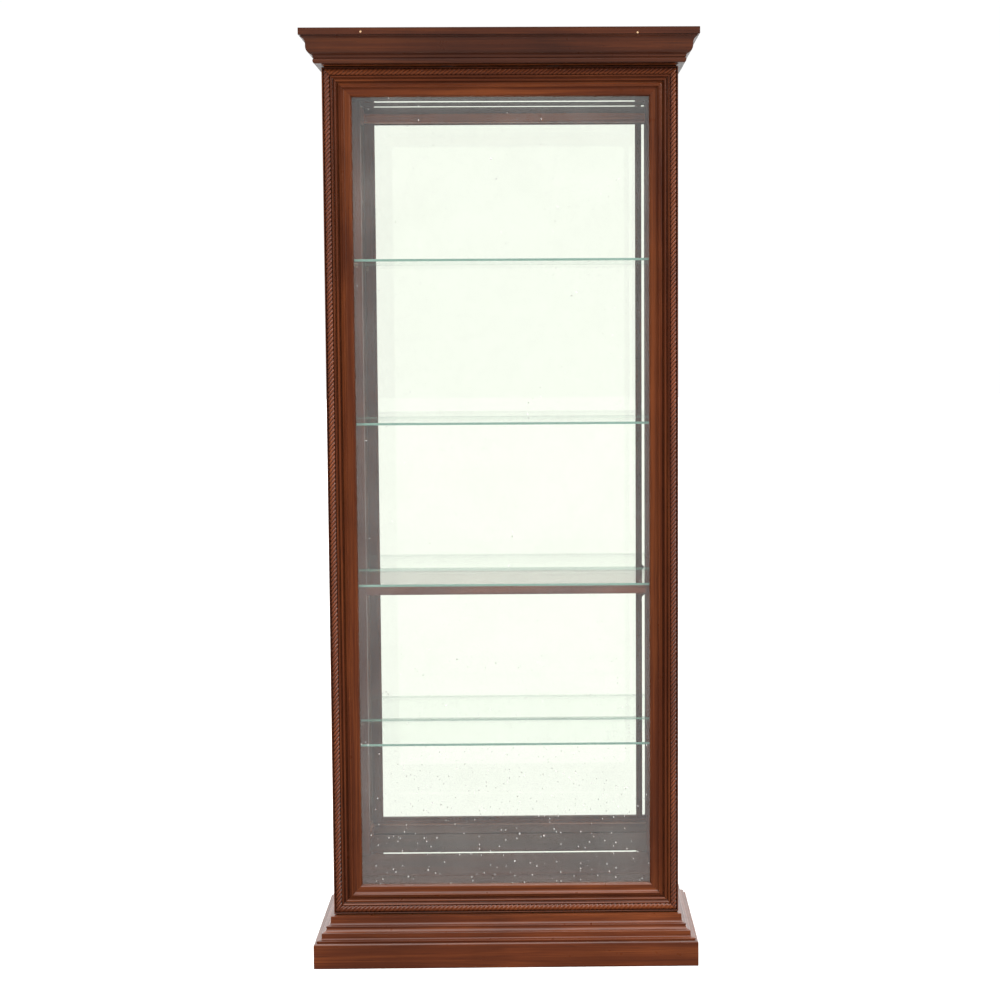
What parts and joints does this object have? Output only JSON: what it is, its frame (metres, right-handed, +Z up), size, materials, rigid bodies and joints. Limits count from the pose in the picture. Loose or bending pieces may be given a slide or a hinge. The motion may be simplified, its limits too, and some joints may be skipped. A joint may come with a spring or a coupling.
{
  "type": "display case",
  "caption": "Tall wood and glass curio display case with a crown, a stepped base, a mirrored back, lift-out glass shelves and a rope-trimmed glass door that slides both ways.",
  "frame": {"origin": "on the floor, under the middle of the cabinet's overall box", "axes": "+X to the viewer's right, +Y from the door towards the mirrored back, +Z up"},
  "size_m": [0.824, 0.361, 1.981],
  "materials": {
    "mahogany": "reddish brown stain under satin lacquer",
    "rope_wood": "reddish brown stain under satin lacquer, darker glaze in the grooves",
    "plywood": "unfinished plywood and softwood",
    "hardboard": "smooth brown hardboard",
    "shelf_glass": "clear float glass with polished green edges",
    "pane_glass": "clear float glass",
    "mirror": "bevelled silvered glass",
    "aluminium": "mill finish extrusion",
    "steel": "zinc plated",
    "nylon": "natural nylon",
    "glide_plastic": "moulded black plastic on a steel stem"
  },
  "bodies": {
    "cabinet": {"plinth_front": "mahogany", "plinth_left": "mahogany", "plinth_right": "mahogany", "plinth_back": "mahogany", "base_moulding_front": "mahogany", "base_moulding_left": "mahogany", "base_moulding_right": "mahogany", "corner_blocks": "plywood", "base_deck": "plywood", "front_stile_left": "mahogany", "front_stile_right": "mahogany", "back_stile_left": "mahogany", "back_stile_right": "mahogany", "side_rail_top_left": "mahogany", "side_rail_top_right": "mahogany", "side_rail_bottom_left": "mahogany", "side_rail_bottom_right": "mahogany", "side_glass_left": "pane_glass", "side_glass_right": "pane_glass", "side_glass_beads": "mahogany", "header_rail": "mahogany", "sill_rail": "mahogany", "floor_panel": "mahogany", "ceiling_panel": "mahogany", "top_panel": "plywood", "back_panel": "hardboard", "mirror_upper": "mirror", "mirror_lower": "mirror", "back_mid_rail": "mahogany", "shelf_pins": "steel", "crown_front": "mahogany", "crown_left": "mahogany", "crown_right": "mahogany", "soffit_board": "mahogany", "bottom_track": "aluminium", "top_track": "aluminium", "cabinet_screws": "steel"},
    "sliding_door": {"door_stile_left": "mahogany", "door_stile_right": "mahogany", "door_rail_top": "mahogany", "door_rail_bottom": "mahogany", "rope_left": "rope_wood", "rope_right": "rope_wood", "rope_top": "rope_wood", "rope_bottom": "rope_wood", "door_glass": "pane_glass", "door_glass_beads": "mahogany", "roller_brackets": "steel", "roller_axles": "steel", "top_guides": "nylon"},
    "foot_back_left": {"foot_back_left": "glide_plastic"},
    "foot_back_right": {"foot_back_right": "glide_plastic"},
    "foot_front_left": {"foot_front_left": "glide_plastic"},
    "foot_front_right": {"foot_front_right": "glide_plastic"},
    "glass_shelf_1": {"glass_shelf_1": "shelf_glass"},
    "glass_shelf_2": {"glass_shelf_2": "shelf_glass"},
    "glass_shelf_3": {"glass_shelf_3": "shelf_glass"},
    "glass_shelf_4": {"glass_shelf_4": "shelf_glass"},
    "roller_left": {"roller_left": "nylon"},
    "roller_right": {"roller_right": "nylon"}
  },
  "joints": [
    {"name": "door_slide", "type": "slide", "parent": "cabinet", "child": "sliding_door", "axis": [1, 0, 0], "range_m": [-0.24, 0.24]},
    {"name": "roller_left_spin", "type": "hinge", "parent": "sliding_door", "child": "roller_left", "pos_m": [-0.11, -0.1055, 0.1152], "axis": [0, 1, 0], "range_deg": [-1720, 1720]},
    {"name": "roller_right_spin", "type": "hinge", "parent": "sliding_door", "child": "roller_right", "pos_m": [0.11, -0.1055, 0.1152], "axis": [0, 1, 0], "range_deg": [-1720, 1720]},
    {"name": "shelf_1_lift", "type": "slide", "parent": "cabinet", "child": "glass_shelf_1", "axis": [0, 0, 1], "range_m": [0, 0.03]},
    {"name": "shelf_2_lift", "type": "slide", "parent": "cabinet", "child": "glass_shelf_2", "axis": [0, 0, 1], "range_m": [0, 0.03]},
    {"name": "shelf_3_lift", "type": "slide", "parent": "cabinet", "child": "glass_shelf_3", "axis": [0, 0, 1], "range_m": [0, 0.03]},
    {"name": "shelf_4_lift", "type": "slide", "parent": "cabinet", "child": "glass_shelf_4", "axis": [0, 0, 1], "range_m": [0, 0.03]},
    {"name": "foot_front_left_drop", "type": "slide", "parent": "cabinet", "child": "foot_front_left", "axis": [0, 0, 1], "range_m": [-0.012, 0]},
    {"name": "foot_front_right_drop", "type": "slide", "parent": "cabinet", "child": "foot_front_right", "axis": [0, 0, 1], "range_m": [-0.012, 0]},
    {"name": "foot_back_left_drop", "type": "slide", "parent": "cabinet", "child": "foot_back_left", "axis": [0, 0, 1], "range_m": [-0.012, 0]},
    {"name": "foot_back_right_drop", "type": "slide", "parent": "cabinet", "child": "foot_back_right", "axis": [0, 0, 1], "range_m": [-0.012, 0]}
  ],
  "couplings": [
    {"joint": "roller_left_spin", "follows": "door_slide", "rad_per_m": 125},
    {"joint": "roller_right_spin", "follows": "door_slide", "rad_per_m": 125}
  ]
}
